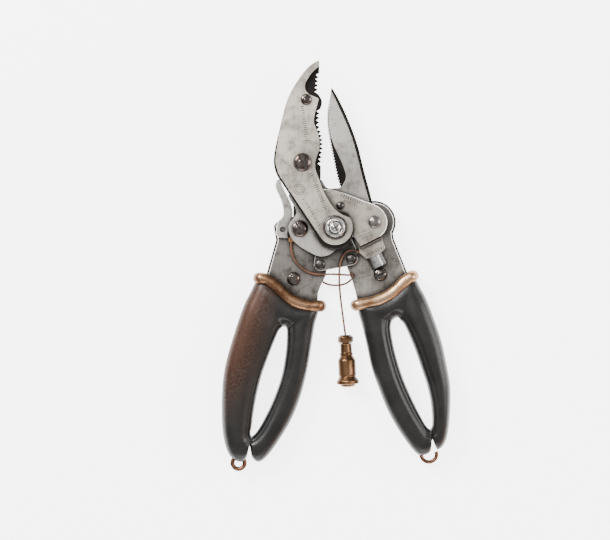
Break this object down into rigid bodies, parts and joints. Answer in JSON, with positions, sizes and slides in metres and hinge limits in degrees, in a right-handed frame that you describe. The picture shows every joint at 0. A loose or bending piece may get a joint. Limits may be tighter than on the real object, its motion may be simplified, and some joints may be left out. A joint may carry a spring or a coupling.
{
  "type": "bolt cutters",
  "caption": "Hand-held compound-action cutters with serrated hooked jaw, bypass blade, windowed grips, bronze collars and a corded bob.",
  "frame": {"origin": "on the main bolt's axis, at the back face of its nut", "axes": "+Y towards the jaw tips, +X towards the cutting blade's side, +Z towards the screw heads"},
  "size_m": [0.124, 0.2214, 0.0243],
  "materials": {
    "pale_steel": "satin, warm grey, fine wear",
    "dark_steel": "blackened, matt",
    "worn_steel": "satin, stained grey",
    "black_grip": "fine-grained black with bronze rub-through",
    "aged_bronze": "aged, semi-bright",
    "bright_steel": "polished",
    "blackened_screw": "polished dark steel",
    "brown_cord": "twisted, waxed",
    "spring_wire": "bright wire"
  },
  "bodies": {
    "frame": {"centre_plate": "pale_steel", "back_strap": "worn_steel", "main_bolt": "bright_steel", "main_washer": "bright_steel", "main_nut": "bright_steel", "bolt_spacer": "worn_steel", "left_pivot_rivet": "blackened_screw", "right_pivot_rivet": "blackened_screw", "spring_post": "worn_steel", "return_spring": "spring_wire", "loop_cord": "brown_cord"},
    "hook_jaw": {"hook_front_plate": "pale_steel", "saw_insert": "dark_steel", "head_plate": "pale_steel", "guard_tab": "pale_steel", "hook_screw": "blackened_screw", "tip_screw": "blackened_screw", "stop_pin": "blackened_screw", "head_rivet": "blackened_screw"},
    "blade": {"blade_cheek": "pale_steel", "blade_saw": "dark_steel", "blade_screw": "blackened_screw"},
    "left_handle": {"left_handle_plate": "worn_steel", "left_handle_backing": "dark_steel", "left_handle_screw": "blackened_screw", "left_grip": "black_grip", "left_collar": "aged_bronze", "hanging_ring": "aged_bronze", "cord_clip": "aged_bronze", "keeper_cord": "brown_cord", "cord_knot": "brown_cord", "catch_pin": "blackened_screw"},
    "right_handle": {"right_handle_plate": "worn_steel", "right_handle_backing": "dark_steel", "right_handle_screw": "blackened_screw", "right_grip": "black_grip", "right_collar": "aged_bronze", "latch_hook": "aged_bronze", "stop_barrel": "bright_steel"},
    "pendant": {"pendant_cord": "brown_cord", "cord_ferrule": "aged_bronze", "bob_cap": "aged_bronze", "bob_weight": "aged_bronze"},
    "thumb_catch": {"thumb_catch": "pale_steel"}
  },
  "joints": [
    {"name": "left_handle_pivot", "type": "hinge", "parent": "frame", "child": "left_handle", "pos_m": [-0.0079, -0.0198, 0.008], "axis": [0, 0, 1], "range_deg": [0, 11], "stiffness_Nm_per_rad": 0.3, "springref_deg": -5.73},
    {"name": "right_handle_pivot", "type": "hinge", "parent": "frame", "child": "right_handle", "pos_m": [0.0087, -0.0166, 0.008], "axis": [0, 0, 1], "range_deg": [-11, 0]},
    {"name": "hook_jaw_pivot", "type": "hinge", "parent": "frame", "child": "hook_jaw", "pos_m": [0, 0, 0.016], "axis": [0, 0, 1], "range_deg": [-6.6, 0]},
    {"name": "blade_pivot", "type": "hinge", "parent": "frame", "child": "blade", "pos_m": [0, 0, 0.013], "axis": [0, 0, 1], "range_deg": [0, 6.6]},
    {"name": "pendant_swing", "type": "hinge", "parent": "frame", "child": "pendant", "pos_m": [0.0087, -0.0166, 0.012], "axis": [0, 0, 1], "range_deg": [-3.8, 0]},
    {"name": "thumb_catch_pivot", "type": "hinge", "parent": "left_handle", "child": "thumb_catch", "pos_m": [-0.0283, -0.0009, 0.0105], "axis": [0, 0, 1], "range_deg": [-10, 0]}
  ],
  "couplings": [
    {"joint": "right_handle_pivot", "follows": "left_handle_pivot", "ratio": -1},
    {"joint": "hook_jaw_pivot", "follows": "left_handle_pivot", "ratio": -0.592},
    {"joint": "blade_pivot", "follows": "left_handle_pivot", "ratio": 0.586},
    {"joint": "pendant_swing", "follows": "left_handle_pivot", "ratio": -0.34}
  ]
}
